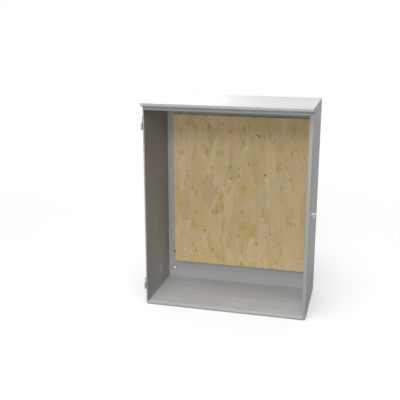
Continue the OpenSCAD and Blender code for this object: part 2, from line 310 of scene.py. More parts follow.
# The flange runs from the bend to the fold line, and where it is folded back, on to the fold's end.
# The corner between the two folded strips is a mitre, which belongs to both.
body = path[:, None, :] + inset[None, :, None] * inward[:, None, :]
flange_start = body[:, -1]
fold_x, fold_z = half_w - flat_flange, flat_flange
fold_line = np.stack([
    np.clip(flange_start[:, 0], plain_flange - half_w, fold_x),
    np.maximum(flange_start[:, 1], fold_z),
], axis=1)
fold_end = np.stack([
    np.minimum(fold_line[:, 0], fold_x - fold_width),
    np.maximum(fold_line[:, 1], fold_z + fold_width),
], axis=1)
on_bottom = fold_line[:, 1] <= fold_z + near
on_latch_side = (fold_line[:, 0] >= fold_x - near) & (fold_line[:, 1] <= header_z + near)
on_mitre = (fold_line[:, 0] > fold_x - mitre_reach) & (fold_line[:, 1] < fold_z + mitre_reach)
folded = on_bottom | on_latch_side | on_mitre
flat = np.concatenate([body, fold_line[:, None], fold_end[:, None]], axis=1)
depths = np.tile(np.append(depth, [front_y, front_y]), (len(path), 1))
depths[:, -1] += folded * fold_width * math.tan(fold_angle)
points = np.stack([flat[..., 0], depths, flat[..., 1]], axis=-1).reshape(-1, 3)
rows, columns = depths.shape

keep = np.ones((rows - 1, columns - 1), dtype=bool)
first_row = len(upper_lines)
last_row = rows - 1 - first_row
windows = [(first_row, first_row + window_cells), (last_row - window_cells, last_row)]
window_columns = (1, 1 + window_cells)
for top, foot in windows:
    keep[top:foot, slice(*window_columns)] = False
moves = sum(np.linalg.norm(np.diff(line, axis=0), axis=1) for line in (fold_end, fold_line))
keep[:, -1] = folded[:-1] & folded[1:] & (moves > near)
faces = [grid_faces(rows, columns, keep)]
for window, side in zip(windows, (-1, 1)):
    rim = window_rim(window, window_columns, columns)
    points, strip = round_hole(points, rim, (side * half_w, hole_y, hole_z), hole_r)
    faces.append(strip)
wrapper = add_piece("wrapper_sheet", points, np.concatenate(faces), painted, ["wrapper"], outward=(0, 0, -1))
thicken(wrapper, sheet)


# Back panel: a sheet set between the walls and seam-welded round its rim. Near each corner an oblong
# dimple is pressed back, so that the box stands off the wall on four pads; a bolt hole goes through
# each pad. Painted with the wrapper.
dimple_rim_r = 11.0
dimple_floor_r = 8.2
dimple_half_straight = 5.5
dimple_shift = 3.0
dimple_steps = (0.0, 0.12, 0.28, 0.5, 0.72, 0.88, 1.0)
bolt_hole_r = 4.25
panel_bend = corner_bend - sheet

low, high = corners_of("back_panel")
panel_w, panel_foot, panel_top = high[0], low[2], high[2]
dimple_depth = high[1] - back_y
wall_bolts = next(row for row in frame["record"]["mounts"] if row["name"] == "wall_bolts")
bolt_x = wall_bolts["dims"]["spacing_x_mm"] / 2
bolt_z = np.array([-0.5, 0.5]) * wall_bolts["dims"]["spacing_y_mm"] + wall_bolts["pos_m"][2] / mm
pad_z = bolt_z + dimple_shift * np.array([-1, 1])

# The grid has lines through the rounded corners and through a window round each dimple.
pad_half_x, pad_half_z = 18.0, 23.0
pad_steps = np.linspace(-1.0, 1.0, 13)
span_x, spans_z = 90.0, [220.0, 388.0, 560.0]
corner_steps = np.linspace(panel_bend, 0.0, 7)[:-1]
edge_x = np.concatenate([[-panel_w], corner_steps[::-1] - panel_w])
lines_x = np.concatenate([edge_x, -bolt_x + pad_half_x * pad_steps, [-span_x]])
lines_x = np.unique(np.round(np.concatenate([lines_x, -lines_x]), 4))
lines_z = np.unique(np.round(np.concatenate([
    panel_foot + corner_steps, [panel_foot], pad_z[0] + pad_half_z * pad_steps, spans_z,
    pad_z[1] + pad_half_z * pad_steps, [panel_top]]), 4))
grid_z, grid_x = np.meshgrid(lines_z, lines_x, indexing="ij")
flat = np.stack([grid_x, grid_z], axis=-1)

# The lower corners are rounded: each corner square is drawn in to a quarter of a disc, by
# u sqrt(1 - v^2 / 2) and v sqrt(1 - u^2 / 2).
beyond_x = np.abs(flat[..., 0]) - (panel_w - panel_bend)
beyond_z = panel_foot + panel_bend - flat[..., 1]
u, v = np.clip(beyond_x / panel_bend, 0.0, 1.0), np.clip(beyond_z / panel_bend, 0.0, 1.0)
flat[..., 0] -= np.sign(flat[..., 0]) * panel_bend * u * (1 - np.sqrt(1 - v * v / 2))
flat[..., 1] += panel_bend * v * (1 - np.sqrt(1 - u * u / 2))
points = np.stack([flat[..., 0], np.full(grid_x.shape, back_y), flat[..., 1]], axis=-1).reshape(-1, 3)
rows, columns = grid_x.shape
keep = np.ones((rows - 1, columns - 1), dtype=bool)
faces = []


def stadium(angle, radius, middle):
    """An oblong ring: a circle of the radius whose upper and lower halves are moved apart."""
    x = middle[0] + radius * np.cos(angle)
    z = middle[1] + radius * np.sin(angle) + dimple_half_straight * np.sign(np.round(np.sin(angle), 6))
    return np.stack([x, np.full(len(angle), 0.0), z], axis=1)


def line_span(lines, middle, half):
    """Numbers of the grid lines that bound a window on either side of its middle."""
    return tuple(int(np.abs(lines - (middle + sign * half)).argmin()) for sign in (-1, 1))


for x in (-bolt_x, bolt_x):
    for z, hole in zip(pad_z, bolt_z):
        row_span, column_span = line_span(lines_z, z, pad_half_z), line_span(lines_x, x, pad_half_x)
        keep[slice(*row_span), slice(*column_span)] = False
        rim = window_rim(row_span, column_span, columns)
        around = points[rim][:, [0, 2]] - [x, z]
        angle = np.arctan2(around[:, 1], around[:, 0])
        loops = [rim]
        for step in dimple_steps:
            ring = stadium(angle, dimple_rim_r + (dimple_floor_r - dimple_rim_r) * step, (x, z))
            ring[:, 1] = back_y + dimple_depth * step * step * (3 - 2 * step)
            loops.append(len(points) + np.arange(len(rim)))
            points = np.concatenate([points, ring])
        faces.append(ring_faces(loops))
        points, strip = round_hole(points, loops[-1], (x, back_y + dimple_depth, hole), bolt_hole_r)
        faces.append(strip)
faces = np.concatenate([grid_faces(rows, columns, keep)] + faces)
panel = add_piece("back_panel_sheet", points, faces, painted, ["back_panel"], outward=(0, 1, 0))
thicken(panel, sheet)


# Header: an L-shaped strip over the opening, welded between the side flanges under the roof. Its
# lower leg is bent back to stiffen it, and is longer than the strip in front.
def carried_along_x(lines_x, profile_y, profile_z):
    """A profile in Y and Z carried along X: a row of its points at every line."""
    shape = (len(lines_x), len(profile_y))
    places = (lines_x[:, None], profile_y, profile_z)
    return np.stack([np.broadcast_to(row, shape) for row in places], axis=-1)


low, high = corners_of("header")
header_front, header_back = low[1], high[1]
strip_span = 150.0
strip_y = np.concatenate([[header_front], header_front + bend - bend * np.cos(quarter), [header_back]])
strip_z = np.concatenate([[high[2]], low[2] + bend - bend * np.sin(quarter), [low[2]]])
lines_x = np.array([
    low[0], plain_flange - half_w, -strip_span, 0.0, strip_span, half_w - flat_flange, high[0]])
points = carried_along_x(lines_x, strip_y, strip_z)
keep = np.ones((len(lines_x) - 1, len(strip_z) - 1), dtype=bool)
keep[[0, -1], :-1] = False
header = add_piece("header_strip", points, grid_faces(*points.shape[:2], keep), painted, ["header"],
                   outward=(0, -1, 0))
thicken(header, sheet)


# Roof: one sheet that stands out over the front, with a lip bent down against the rain and a narrow
# hem bent in under the lip. Flanges inside the side walls carry its welds.
lip_drop = 12.0
roof_bend = 2.4
hem = 6.0
low, high = corners_of("roof")
lip_y, roof_top, roof_back = low[1], high[2], high[1]
weld_drop = roof_top - sheet - low[2]
weld_front = header_back + sheet
lip_foot = roof_top - lip_drop
roof_lines = 5
roof_y = np.concatenate([
    np.linspace(roof_back, lip_y + roof_bend, roof_lines),
    lip_y + roof_bend - roof_bend * np.sin(quarter[1:]),
    lip_y + roof_bend - roof_bend * np.cos(quarter), [lip_y + hem]])
roof_z = np.concatenate([
    np.full(roof_lines, roof_top), roof_top - roof_bend + roof_bend * np.cos(quarter[1:]),
    lip_foot + roof_bend - roof_bend * np.sin(quarter), [lip_foot]])
points = carried_along_x(np.linspace(-half_w, half_w, 9), roof_y, roof_z)
roof = add_piece("roof_sheet", points, grid_faces(*points.shape[:2]), painted, ["roof"], outward=(0, 0, 1))
thicken(roof, sheet)
for name, side in (("left", -1), ("right", 1)):
    flange_y = np.linspace(weld_front, back_y - sheet, 9)
    flange_z = roof_top - sheet - np.array([0.0, weld_drop])
    grid_y, grid_z = np.meshgrid(flange_y, flange_z, indexing="ij")
    points = np.stack([np.full(grid_y.shape, side * (half_w - sheet)), grid_y, grid_z], axis=-1)
    flange = add_piece(f"roof_weld_flange_{name}", points, grid_faces(*grid_y.shape), painted, [],
                       outward=(side, 0, 0))
    thicken(flange, sheet)


# Equipment board: 19 mm oriented strand board, sawn to size and sanded, bare. Its strands lie in
# layers, most of them upright, with dark specks of bark. Half-round notches clear the four studs.
def random_numbers(tree, cells):
    """Three random numbers of a Voronoi cell, from its colour."""
    return new_node(tree, "SeparateColor", {0: cells}).node.outputs[:3]


def rotated_place(tree, place, angle):
    """A place turned about the pattern's own upright axis."""
    return new_node(tree, "VectorRotate", {0: place, "Angle": angle}, rotation_type="Z_AXIS")


def strand_layer(tree, flat_place, number, turn, across, along):
    """One layer of scattered strands: cells of a stretched Voronoi pattern, and in each a turned
    rectangle of its own size, with ragged ends. Returns where it covers, the cell's random colour,
    the place in the strand and the distance to its edge."""
    rotated = rotated_place(tree, flat_place, math.radians(turn))
    shifted = calculate_places(tree, "ADD", rotated, (0.731 * number, 0.417 * number, 0.0))
    scaled = calculate_places(tree, "MULTIPLY", shifted, (1 / across, 1 / along, 1.0))
    cells = new_node(tree, "TexVoronoi", {"Vector": scaled, "Scale": 1.0, "Randomness": 0.85},
                     "Color", voronoi_dimensions="2D")
    off = calculate_places(tree, "SUBTRACT", scaled, cells.node.outputs["Position"])
    off = calculate_places(tree, "MULTIPLY", off, (across, along, 0.0))
    random = random_numbers(tree, cells)
    own_turn = calculate(tree, "MULTIPLY", calculate(tree, "SUBTRACT", random[0], 0.5), 0.55)
    local = rotated_place(tree, off, own_turn)
    x, z = new_node(tree, "SeparateXYZ", {0: local}).node.outputs[:2]
    ragged = calculate(tree, "MULTIPLY", noise_of(tree, flat_place, 170.0, 2.0), 0.012)
    slant = calculate(tree, "MULTIPLY", x, calculate(tree, "SUBTRACT", random[1], 0.5))
    half_wide = calculate(tree, "MULTIPLY_ADD", random[1], 0.32 * across, 0.20 * across)
    half_long = calculate(tree, "MULTIPLY_ADD", random[2], 0.20 * along, 0.30 * along)
    in_x = calculate(tree, "SUBTRACT", half_wide, calculate(tree, "ABSOLUTE", x))
    end = calculate(tree, "ABSOLUTE", calculate(tree, "ADD", calculate(tree, "ADD", z, slant), ragged))
    in_z = calculate(tree, "SUBTRACT", half_long, end)
    inside = calculate(tree, "MINIMUM", in_x, in_z)
    return calculate(tree, "GREATER_THAN", inside, 0.0), cells, local, inside


def ragged_spots(tree, place, cell_x, cell_z, share, radius, soft, seed):
    """Ragged spots, one in some of the cells of a stretched Voronoi pattern over a bent place."""
    moved = calculate_places(tree, "ADD", place, (seed, seed * 1.7, 0.0))
    scaled = calculate_places(tree, "MULTIPLY", moved, (1 / cell_x, 1 / cell_z, 1.0))
    cell = new_node(tree, "TexVoronoi", {"Vector": scaled, "Scale": 1.0}, "Color", voronoi_dimensions="2D")
    random = random_numbers(tree, cell)
    size = calculate(tree, "MULTIPLY_ADD", random[1], radius * 1.6, radius * 0.7)
    within = calculate(tree, "SUBTRACT", size, cell.node.outputs["Distance"])
    spot = between(tree, within, 0.0, radius * soft, 0.0, 1.0, True)
    return calculate(tree, "MULTIPLY", spot, calculate(tree, "LESS_THAN", random[0], share))


# Layers from the lowest to the uppermost: turn in degrees, and spacing across and along in metres.
strand_layers = ((-24, 0.052, 0.16), (17, 0.046, 0.15), (-9, 0.05, 0.17), (31, 0.04, 0.13),
                 (6, 0.048, 0.16), (-15, 0.044, 0.15), (12, 0.042, 0.17), (-3, 0.046, 0.18))
# Strand colours along a scale from 0 to 1.
strand_colours = ((0.0, (0.565, 0.44, 0.215)), (0.2, (0.60, 0.46, 0.24)), (0.45, (0.61, 0.465, 0.255)),
                  (0.7, (0.64, 0.50, 0.285)), (0.88, (0.61, 0.45, 0.25)), (1.0, (0.575, 0.415, 0.22)))
# Marks: width and height of a cell in metres, share of cells with a spot, its radius in cells, its
# softness, a seed, its strength and its colour. Two broad tints, two resin stains, pale dust of
# torn fibre, dark grain streaks and two sizes of bark speck.
board_marks = (
    (0.12, 0.14, 0.40, 0.26, 1.0, 11.7, 0.40, (0.62, 0.42, 0.215, 1.0)),
    (0.10, 0.15, 0.42, 0.24, 1.0, 3.1, 0.30, (0.53, 0.40, 0.11, 1.0)),
    (0.050, 0.085, 0.34, 0.17, 1.0, 5.7, 0.46, (0.47, 0.345, 0.065, 1.0)),
    (0.021, 0.080, 0.15, 0.17, 0.9, 2.3, 0.60, (0.42, 0.30, 0.05, 1.0)),
    (0.026, 0.032, 0.14, 0.12, 0.7, 7.9, 0.34, (0.78, 0.66, 0.45, 1.0)),
    (0.014, 0.100, 0.16, 0.13, 0.8, 9.2, 0.55, (0.36, 0.25, 0.08, 1.0)),
    (0.036, 0.040, 0.17, 0.065, 0.6, 1.3, 0.78, (0.20, 0.13, 0.05, 1.0)),
    (0.022, 0.026, 0.09, 0.075, 0.6, 6.4, 0.62, (0.22, 0.14, 0.06, 1.0)))


def colour_scale(tree, value, colours):
    """A colour picked from a scale by a value from 0 to 1."""
    picked = new_node(tree, "ValToRGB", {0: value}, "Color")
    bands = picked.node.color_ramp.elements
    while len(bands) < len(colours):
        bands.new(0.5)
    for band, (position, colour) in zip(bands, colours):
        band.position = position
        band.color = (*colour, 1.0)
    return picked


def strand_board(name):
    """Oriented strand board: layers of strands, each over the last, with grain along each strand, painted
    shade along the edge of each strand, bark specks and resin spots; sawn layers at the edges."""
    material, tree, shader, place = new_material(name)
    x, y, z = new_node(tree, "SeparateXYZ", {0: place}).node.outputs[:3]
    flat_place = new_node(tree, "CombineXYZ", {0: x, 1: z})
    tone = noise_of(tree, flat_place, 30.0, 2.0)
    grain_place, edge, level = flat_place, 0.01, 0.0
    for number, (turn, across, along) in enumerate(strand_layers, 1):
        covers, cells, local, inside = strand_layer(tree, flat_place, number, turn, across, along)
        tone = mixed(tree, covers, tone, cells)
        grain_place = new_node(tree, "Mix", {0: covers, 4: grain_place, 5: local}, 1, data_type="VECTOR")
        edge = new_node(tree, "Mix", {0: covers, 2: edge, 3: inside})
        level = new_node(tree, "Mix", {0: covers, 2: level, 3: number / len(strand_layers)})
    pick, _, shade = random_numbers(tree, tone)
    grain = noise_of(tree, grain_place, 1.0, 3.0, (900.0, 22.0, 1.0))
    rings = noise_of(tree, grain_place, 1.0, 1.0, (240.0, 5.0, 1.0))
    bright = calculate(tree, "MULTIPLY", between(tree, grain, 0.25, 0.75, 0.93, 1.06),
                       between(tree, rings, 0.3, 0.7, 0.94, 1.05))
    bright = calculate(tree, "MULTIPLY", bright, between(tree, shade, 0.0, 1.0, 0.92, 1.01))
    # Painted shade: each strand is darker within about a millimetre of its edge, at the step onto the strand
    # below.
    bright = calculate(tree, "MULTIPLY", bright, between(tree, edge, 0.0, 0.0011, 0.84, 1.0, True))
    face = shaded(tree, colour_scale(tree, pick, strand_colours), bright)

    wander = {"Vector": flat_place, "Scale": 26.0, "Detail": 3.0, "Roughness": 0.6}
    wander = new_node(tree, "TexNoise", wander, "Color", noise_dimensions="2D")
    wander = calculate_places(tree, "SUBTRACT", wander, (0.5, 0.5, 0.5))
    wander = calculate_places(tree, "MULTIPLY", wander, (0.030, 0.055, 0.0))
    bent_place = calculate_places(tree, "ADD", flat_place, wander)
    for cell_x, cell_z, share, radius, soft, seed, strength, colour in board_marks:
        spots = ragged_spots(tree, bent_place, cell_x, cell_z, share, radius, soft, seed)
        face = mixed(tree, calculate(tree, "MULTIPLY", spots, strength), face, colour)

    sawn_place = new_node(tree, "CombineXYZ", {0: calculate(tree, "ADD", x, z), 1: y})
    sawn = noise_of(tree, sawn_place, 1.0, 3.0, (38.0, 900.0, 1.0))
    dark_layer, light_layer = (0.34, 0.23, 0.11, 1.0), (0.66, 0.50, 0.27, 1.0)
    side = mixed(tree, between(tree, sawn, 0.3, 0.7, 0.0, 1.0), dark_layer, light_layer)
    on_face = calculate(tree, "GREATER_THAN", calculate(tree, "ABSOLUTE", facing_along(tree, "Y")), 0.7)
    layered = calculate(tree, "MULTIPLY_ADD", grain, 0.15, level)
    relief = new_node(tree, "Mix", {0: on_face, 2: sawn, 3: layered})
    tree.links.new(mixed(tree, on_face, side, face), shader.inputs["Base Color"])
    tree.links.new(between(tree, grain, 0.3, 0.7, 0.62, 0.78), shader.inputs["Roughness"])
    tree.links.new(bumped(tree, relief, 0.0004, 0.7), shader.inputs["Normal"])
    shader.inputs["Specular IOR Level"].default_value = 0.35
    return material


osb = strand_board("bare_strand_board")
stud_r = 3.0
notch_r = 4.0
low, high = corners_of("backboard")
stud_low, stud_high = corners_of("board_studs")
stud_x = high[0]
stud_z = (stud_low[2] + stud_r, stud_high[2] - stud_r)
bite = np.linspace(-math.pi / 2, math.pi / 2, 13)
edge_up = np.concatenate([[low[2]]] + [z + notch_r * np.sin(bite) for z in stud_z] + [[high[2]]])
edge_in = np.concatenate([[0.0]] + [notch_r * np.cos(bite)] * len(stud_z) + [[0.0]])
outline_x = np.concatenate([stud_x - edge_in, edge_in[::-1] - stud_x])
outline_z = np.concatenate([edge_up, edge_up[::-1]])
count = len(outline_x)
points = np.concatenate([
    np.stack([outline_x, np.full(count, y), outline_z], axis=1) for y in (low[1], high[1])])
around = np.arange(count)
faces = [around, around + count] + list(ring_faces([around, around + count]))
board = add_piece("equipment_board", points, faces, (osb, "strand_board"), ["backboard"])
ease_edges(board, 0.8, 3)


# Board fastenings: four 6 mm studs welded to the panel stand in the board's edge notches. A washer
# behind the board spaces it off, and a washer and a nut in front clamp it. Zinc plate, painted at
# half its brightness to stand for the shade they sit in.
def zinc_plate(name, shade_scale):
    """Zinc plate on turned or pressed steel: cool and glossy, with dull clouds and a few darker and
    yellower patches where the plate is thin; the shade scale darkens its colour, as painted shade."""
    material, tree, shader, place = new_material(name)
    clouds = noise_of(tree, place, 90.0, 4.0)
    patches = between(tree, noise_of(tree, place, 220.0, 3.0), 0.5, 0.75, 0.0, 0.6)
    colour = mixed(tree, clouds, (0.60, 0.62, 0.65, 1.0), (0.76, 0.77, 0.79, 1.0))
    colour = mixed(tree, patches, colour, (0.55, 0.52, 0.44, 1.0))
    tree.links.new(shaded(tree, colour, shade_scale), shader.inputs["Base Color"])
    tree.links.new(between(tree, clouds, 0.3, 0.7, 0.26, 0.44), shader.inputs["Roughness"])
    tree.links.new(bumped(tree, noise_of(tree, place, 1500.0, 2.0), 0.00002), shader.inputs["Normal"])
    shader.inputs["Metallic"].default_value = 1.0
    return material


zinc = zinc_plate("bright_zinc", 1.0)
plated = (zinc, "zinc_plated_steel")
# Studs, washers and nuts: the same zinc at half brightness, as painted shade, not a duller zinc.
shade_darkened_plated = (zinc_plate("shade_darkened_zinc", 0.5), "zinc_plated_steel")
turns = 24
rings_a_pitch = 6


def threaded(radius, start, end, pitch, deep):
    """A screw thread: at an angle and a length, the radius less a triangle wave of length / pitch
    minus angle / turn, which fades out over the last pitch at either end."""
    length = np.linspace(start, end, int(abs(end - start) / pitch * rings_a_pitch) + 1)
    angle = np.linspace(0, 2 * math.pi, turns, endpoint=False)
    phase = length[:, None] / pitch - angle[None, :] / (2 * math.pi)
    wave = np.abs(2 * (phase - np.floor(phase)) - 1)
    fade = np.clip(np.minimum(np.abs(length - start), np.abs(end - length)) / pitch, 0, 1)[:, None]
    return np.broadcast_to(length[:, None], wave.shape), radius - deep * wave * fade - deep * (1 - fade)


def turned(centre, axis, lengths, radii):
    """Points of a turned surface about an axis through a centre: rings at lengths, each with one
    radius or with a radius for every angle. Axis 1 is Y and axis 2 is Z."""
    radii = np.asarray(radii, dtype=float)
    if radii.ndim == 1:
        radii = np.repeat(radii[:, None], 2 * turns, axis=1)
    lengths = np.broadcast_to(np.asarray(lengths, dtype=float).reshape(len(radii), -1), radii.shape)
    angle = np.linspace(0, 2 * math.pi, radii.shape[1], endpoint=False)
    points = np.empty(radii.shape + (3,))
    second = 3 - axis
    points[..., 0] = centre[0] + radii * np.cos(angle)
    points[..., second] = centre[second] + radii * np.sin(angle)
    points[..., axis] = centre[axis] + lengths
    return points


def gather(surfaces, closed):
    """Several turned surfaces as one set of points and quads; closed joins each one's last ring to
    its first."""
    points, faces, count = [], [], 0
    for surface in surfaces:
        loops = count + np.arange(surface.shape[0] * surface.shape[1]).reshape(surface.shape[:2])
        faces.append(ring_faces(np.concatenate([loops, loops[:1]]) if closed else loops))
        points.append(surface.reshape(-1, 3))
        count += loops.size
    return np.concatenate(points), np.concatenate(faces)


def add_turned(name, surfaces, closed, finish, node, sharp_from=None):
    """One piece of turned surfaces, with edges that turn by more than some degrees kept sharp."""
    piece = add_piece(name, *gather(surfaces, closed), finish, [node])
    if sharp_from:
        piece.data.set_sharp_from_angle(angle=math.radians(sharp_from))


def at_studs(make):
    """Makes one surface at each of the four studs, from the stud's place."""
    return [make(np.array([x, 0.0, z])) for x in (-stud_x, stud_x) for z in stud_z]


thread_pitch = 1.0
thread_depth = 0.55
thread_end = 0.5
stud_tip_r = 2.1
stud_foot_r = 2.45
stud_front, stud_back = stud_low[1], stud_high[1]


def stud_surface(place):
    """A threaded shank between two flat ends, the front one bevelled; the ends close at the axis."""
    start, end = stud_front + thread_end, stud_back - thread_end
    lengths, radii = threaded(stud_r, start, end, thread_pitch, thread_depth)
    flat_end = np.ones((1, turns))
    lengths = np.concatenate([
        flat_end * stud_front, flat_end * stud_front, lengths, flat_end * stud_back, flat_end * stud_back])
    radii = np.concatenate([
        flat_end * 0.0, flat_end * stud_tip_r, radii, flat_end * stud_foot_r, flat_end * 0.0])
    return turned(place, 1, lengths, radii)


washer_bore_r = 3.2
washer_ease = 0.2


def washers(node):
    """A washer at every stud: a rectangle with bevelled corners, turned about the stud."""
    low, high = corners_of(node)
    ease, rim = washer_ease, high[0] - stud_x
    y0, y1 = low[1], high[1]
    lengths = np.array([y0 + ease, y0, y0, y0 + ease, y1 - ease, y1, y1, y1 - ease])
    radii = np.array([washer_bore_r, washer_bore_r + ease, rim - ease, rim])
    return at_studs(lambda place: turned(place, 1, lengths, np.append(radii, radii[::-1])))


nut_low, nut_high = corners_of("board_nuts")
nut_apothem = (nut_high[0] - stud_x) * math.cos(math.pi / 6)
nut_rise = np.array([0.0, 0.15, 0.3, 0.5, 0.75])
nut_bore_r = 2.7
nut_bore_bevel = 0.5
nut_face_share = 0.96


def nut_surface(place):
    """A hexagon nut: at an angle and a height, the smaller of the hexagon's radius and the radius of
    a 30 degree bevel cone; its bore is bevelled at both ends."""
    y0, y1 = nut_low[1], nut_high[1]
    angle = np.linspace(0, 2 * math.pi, 2 * turns, endpoint=False)
    hexagon = nut_apothem / np.cos((angle % (math.pi / 3)) - math.pi / 6)
    cone = nut_face_share * nut_apothem + math.tan(math.radians(60)) * nut_rise
    outer = np.minimum(hexagon[None, :], np.append(cone, cone[::-1])[:, None])
    lengths = np.concatenate([
        [y0 + nut_bore_bevel, y0], y0 + nut_rise, y1 - nut_rise[::-1], [y1, y1 - nut_bore_bevel]])
    bore = np.full((1, len(angle)), nut_bore_r)
    mouth = bore + nut_bore_bevel
    return turned(place, 1, lengths, np.concatenate([bore, mouth, outer, mouth, bore]))


add_turned("threaded_studs", at_studs(stud_surface), False, shade_darkened_plated, "board_studs")
add_turned("spacer_washers", washers("board_spacers"), True, shade_darkened_plated, "board_spacers", 28)
add_turned("clamp_washers", washers("board_washers"), True, shade_darkened_plated, "board_washers", 28)
add_turned("hexagon_nuts", at_studs(nut_surface), True, shade_darkened_plated, "board_nuts", 28)


# Hinges: two halves each, of 1.6 mm strip rolled round a pin. The lower half is welded to the side
# wall and painted with it; the upper half, bright zinc, takes the door with two screws.
leaf_depth = 32.0
leaf_ease = 1.0
knuckle_r = 3.5
knuckle_slit_degrees = 110
screw_hole_r = 2.25
screw_pitch = 14.0
wall_half_clearance, wall_half_gap = 0.02, 0.0
door_half_clearance, door_half_gap = 0.05, 0.5
low, high = corners_of("lower_hinge_pin")
pin_r = (high[0] - low[0]) / 2
axis_x, axis_y = (low[:2] + high[:2]) / 2
screw_y = (leaf_depth + knuckle_r) / 2 + screw_pitch / 2 * np.array([1.0, -1.0])
screw_window_half = 3.4
screw_lines = np.linspace(screw_window_half, -screw_window_half, 9)
leaf_front_line = 6.0


def hinge_half(node, name, gap, bore_r, screws, finish, body):
    """A leaf that lies along the wall, bends out of its plane and rolls round the pin: a straight
    line, a small arc that touches line and knuckle, and the knuckle's circle, carried up the height."""
    (_, _, z0), (_, _, z1) = corners_of(node)
    near_x = -half_w - gap - axis_x
    ease_x = near_x + leaf_ease
    ease_y = math.sqrt((knuckle_r + leaf_ease) ** 2 - ease_x ** 2)
    meet = math.atan2(ease_y, ease_x)
    line_y = np.concatenate([[leaf_depth]] + [y + screw_lines for y in screw_y] + [[leaf_front_line]])
    ease_turn = np.linspace(math.pi, math.pi + meet, 6)
    roll_turn = np.linspace(meet, math.radians(knuckle_slit_degrees - 360), 37)[1:]
    x = np.concatenate([np.full(len(line_y), near_x), ease_x + leaf_ease * np.cos(ease_turn),
                        knuckle_r * np.cos(roll_turn)])
    y = np.concatenate([line_y, ease_y + leaf_ease * np.sin(ease_turn), knuckle_r * np.sin(roll_turn)])
    z = np.concatenate([[z0], (z0 + z1) / 2 + screw_lines[::-1], [z1]])
    grid_z, grid_x = np.meshgrid(z, x, indexing="ij")
    grid_y = np.broadcast_to(y, grid_x.shape)
    points = np.stack([axis_x + grid_x, axis_y + grid_y, grid_z], axis=-1).reshape(-1, 3)
    keep = np.ones((len(z) - 1, len(x) - 1), dtype=bool)
    faces = []
    row_span = (1, len(screw_lines))
    for number, hole_y in enumerate(screw_y if screws else ()):
        first = 1 + number * len(screw_lines)
        column_span = (first, first + len(screw_lines) - 1)
        keep[slice(*row_span), slice(*column_span)] = False
        rim = window_rim(row_span, column_span, len(x))
        centre = (axis_x + near_x, axis_y + hole_y, (z0 + z1) / 2)
        points, strip = round_hole(points, rim, centre, screw_hole_r)
        faces.append(strip)
    faces = np.concatenate([grid_faces(*grid_x.shape, keep)] + faces)
    half = add_piece(name, points, faces, finish, [node], body, outward=(0, -1, 0))
    thicken(half, knuckle_r - bore_r, 0.2)


pin_bevel_z = np.array([0.0, 0.25, 0.7])
pin_bevel_r = pin_r - np.array([0.7, 0.35, 0.0])
for place in ("lower", "upper"):
    hinge_half(f"{place}_hinge_body_leaf", f"{place}_hinge_wall_half", wall_half_gap,
               pin_r + wall_half_clearance, False, painted, "box")
    hinge_half(f"{place}_hinge_door_leaf", f"{place}_hinge_door_half", door_half_gap,
               pin_r + door_half_clearance, True, plated, f"{place}_door_leaf")
    low, high = corners_of(f"{place}_hinge_pin")
    lengths = np.concatenate([[low[2]], low[2] + pin_bevel_z, high[2] - pin_bevel_z[::-1], [high[2]]])
    radii = np.concatenate([[0.0], pin_bevel_r, pin_bevel_r[::-1], [0.0]])
    pin = turned((axis_x, axis_y, 0.0), 2, lengths, radii)
    add_turned(f"{place}_hinge_steel_pin", [pin], False, plated, f"{place}_hinge_pin", 40)


# Latch bracket: a strip of 2.5 mm steel bent to a shelf and a leg; the leg is welded to the right
# wall and painted with it. A zinc rivet nut is squeezed into the shelf to take the door's screw.
bracket_t = 2.5
bracket_bend = 3.5
bracket_corner = 3.0
bracket_hole_r = 3.35
hole_window_half = 4.6
side_line = 8.0
leg_line = 14.0
past_bend = 0.8
low, high = corners_of("latch_bracket")
shelf_z, shelf_out = high[2], high[0] - low[0]
leg_down, bracket_half = high[2] - low[2], (high[1] - low[1]) / 2
bracket_y = (low[1] + high[1]) / 2
nut_foot, nut_top = (corner[2] for corner in corners_of("latch_rivet_nut"))
nut_x, nut_y = sum(corners_of("latch_rivet_nut"))[:2] / 2
nut_out = nut_x - half_w

# From the shelf's free edge to the leg's foot: how far out and how far down the strip's face lies.
hole_lines = np.linspace(-hole_window_half, hole_window_half, 9)
corner_lines = bracket_corner * np.sin(np.linspace(math.pi / 2, 0, 6))
bend_turn = np.linspace(math.pi / 2, math.pi, 7)
x = np.concatenate([
    shelf_out - bracket_corner + corner_lines[:-1], nut_out - hole_lines, [bracket_bend + past_bend],
    bracket_bend + bracket_bend * np.cos(bend_turn), np.zeros(len(corner_lines) + 1)])
down = np.concatenate([
    np.zeros(len(corner_lines) + len(hole_lines)), bracket_bend - bracket_bend * np.sin(bend_turn),
    [leg_line], leg_down - bracket_corner + corner_lines[::-1]])

# The four corners are rounded: near an end of the strip its half width is less by the corner's arc.
from_end = np.minimum(shelf_out - x + down, leg_down - down)
corner_in = np.maximum(bracket_corner - from_end, 0)
limit = bracket_half - bracket_corner + np.sqrt(np.maximum(bracket_corner ** 2 - corner_in ** 2, 0))
across = np.concatenate([[-bracket_half, -side_line], hole_lines, [side_line, bracket_half]])
grid_x, grid_y = np.meshgrid(x, across, indexing="ij")
grid_y = np.clip(grid_y, -limit[:, None], limit[:, None])
grid_z = np.broadcast_to(shelf_z - down[:, None], grid_x.shape)
points = np.stack([half_w + grid_x, bracket_y + grid_y, grid_z], axis=-1).reshape(-1, 3)
first_row, first_column = len(corner_lines) - 1, 2
row_span = (first_row, first_row + len(hole_lines) - 1)
column_span = (first_column, first_column + len(hole_lines) - 1)
keep = np.ones((len(x) - 1, len(across) - 1), dtype=bool)
keep[slice(*row_span), slice(*column_span)] = False
rim = window_rim(row_span, column_span, len(across))
points, strip = round_hole(points, rim, (half_w + nut_out, bracket_y, shelf_z), bracket_hole_r)
faces = np.concatenate([grid_faces(*grid_x.shape, keep), strip])
bracket = add_piece("latch_bracket_strip", points, faces, painted, ["latch_bracket"], outward=(0, 0, 1))
thicken(bracket, bracket_t)

